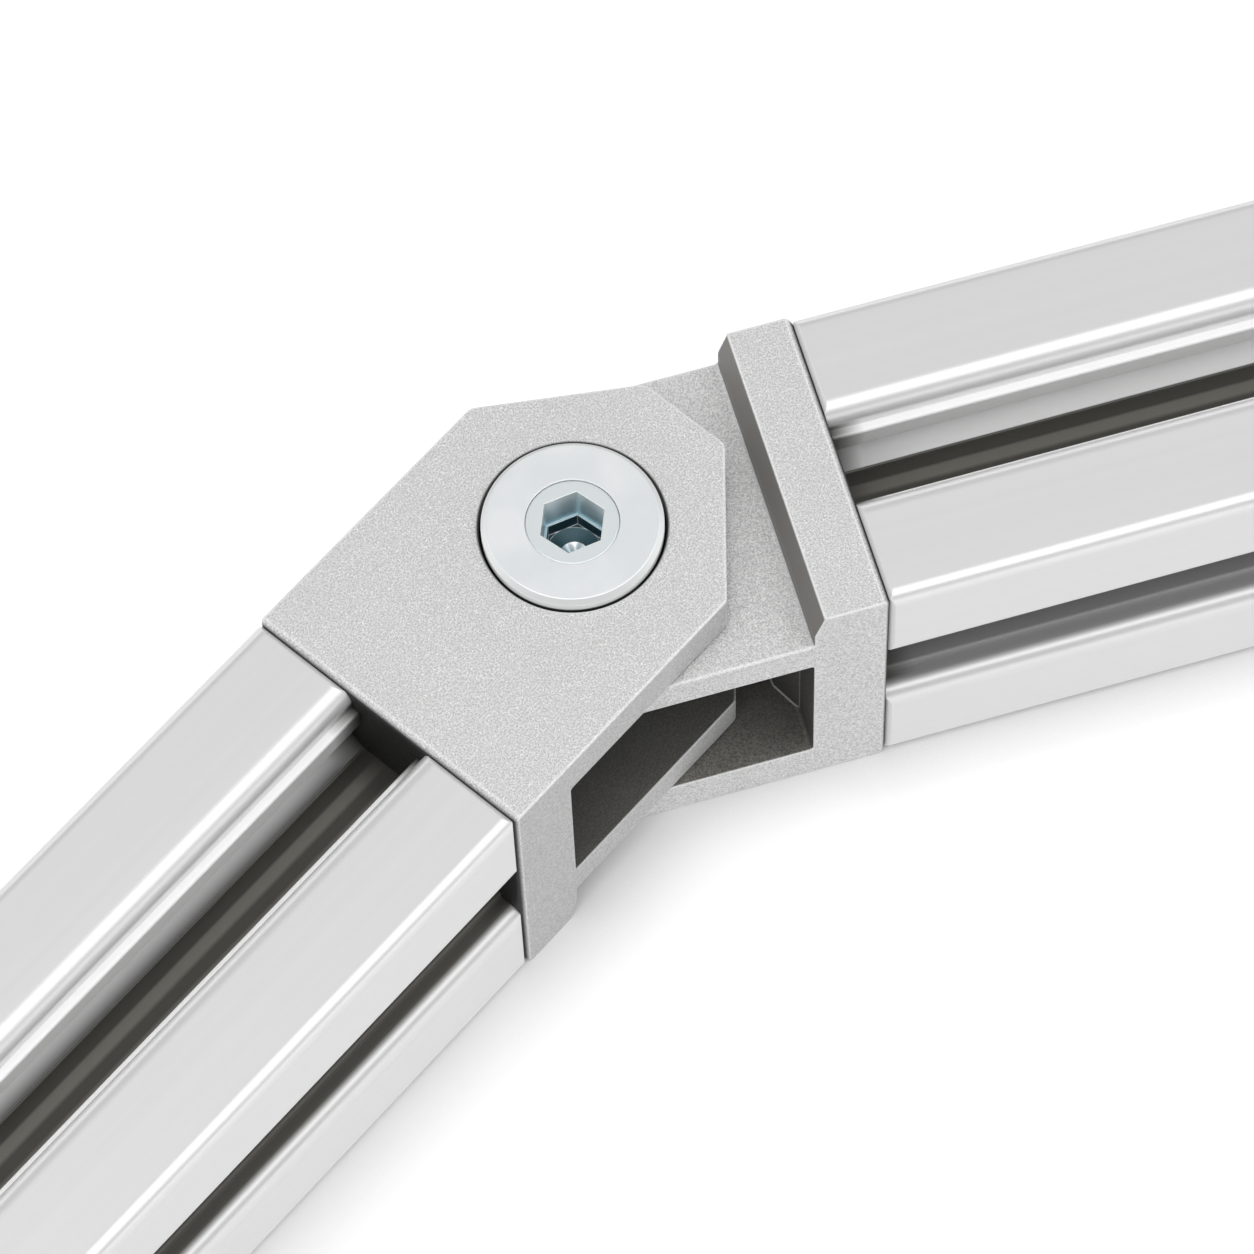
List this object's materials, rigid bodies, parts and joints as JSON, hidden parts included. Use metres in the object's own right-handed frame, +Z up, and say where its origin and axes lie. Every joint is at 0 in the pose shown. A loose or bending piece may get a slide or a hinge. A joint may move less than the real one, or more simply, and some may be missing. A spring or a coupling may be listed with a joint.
{
  "type": "profile pivot joint",
  "caption": "Clamping hinge between two slotted square profiles: interleaved die-cast lugs on one flanged pivot with a hex socket screw.",
  "frame": {"origin": "on the pivot axis, in the plane of the underside", "axes": "+Z up along the pivot axis, +X along profile B"},
  "size_m": [0.3005, 0.1265, 0.0471],
  "materials": {
    "cast_aluminium": "blasted die casting",
    "anodised_aluminium": "satin natural anodised",
    "zinc_plated_steel": "bright zinc plated",
    "friction_disc": "plain black acetal"
  },
  "bodies": {
    "half_b": {"hinge_half_b": "cast_aluminium", "profile_b": "anodised_aluminium", "core_screw_b": "zinc_plated_steel", "core_lock_washer_b": "zinc_plated_steel", "pivot_flange_nut": "zinc_plated_steel", "upper_friction_washer": "friction_disc", "lower_friction_washer": "friction_disc", "spacer_sleeve": "zinc_plated_steel"},
    "half_a": {"hinge_half_a": "cast_aluminium", "profile_a": "anodised_aluminium", "core_screw_a": "zinc_plated_steel", "core_lock_washer_a": "zinc_plated_steel", "pivot_flange_bush": "zinc_plated_steel", "pivot_lock_washer": "zinc_plated_steel"},
    "screw": {"pivot_screw": "zinc_plated_steel"}
  },
  "joints": [
    {"name": "pivot_swing", "type": "hinge", "parent": "half_b", "child": "half_a", "pos_m": [0, 0, 0.0225], "axis": [0, 0, 1], "range_deg": [-123, 57]},
    {"name": "screw_turn", "type": "hinge", "parent": "half_b", "child": "screw", "pos_m": [0, 0, 0.04], "axis": [0, 0, 1], "range_deg": [0, 180]}
  ]
}
